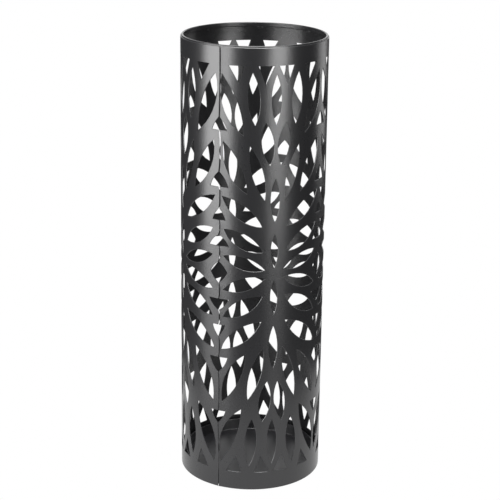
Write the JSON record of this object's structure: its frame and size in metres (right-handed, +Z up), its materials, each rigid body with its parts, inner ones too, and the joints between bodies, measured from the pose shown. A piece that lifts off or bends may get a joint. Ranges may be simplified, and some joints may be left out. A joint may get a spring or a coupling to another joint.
{
  "type": "umbrella stand",
  "caption": "Round sheet-steel umbrella stand, pierced with a pattern of pointed leaves, with a ring in its mouth, a welded base and a drip tray that lifts out.",
  "frame": {"origin": "centre of the round footprint, on the floor", "axes": "+Z up along the sleeve's axis; the front faces -Y, with the sheet's seam a little to the left of it"},
  "size_m": [0.156, 0.156, 0.49],
  "materials": {
    "black_steel": "satin black powder coat with a very fine grain",
    "tray_plastic": "semi-gloss black moulded plastic",
    "pad_rubber": "dull dark grey rubber"
  },
  "bodies": {
    "stand": {"sleeve": "black_steel", "rim_ring": "black_steel", "rim_welds": "black_steel", "seam_welds": "black_steel", "base_plate": "black_steel", "base_welds": "black_steel", "foot_pad_1": "pad_rubber", "foot_pad_2": "pad_rubber", "foot_pad_3": "pad_rubber", "foot_pad_4": "pad_rubber"},
    "tray": {"drip_tray": "tray_plastic"}
  },
  "joints": [
    {"name": "tray_lift", "type": "slide", "parent": "stand", "child": "tray", "axis": [0, 0, 1], "range_m": [0, 0.5]}
  ]
}
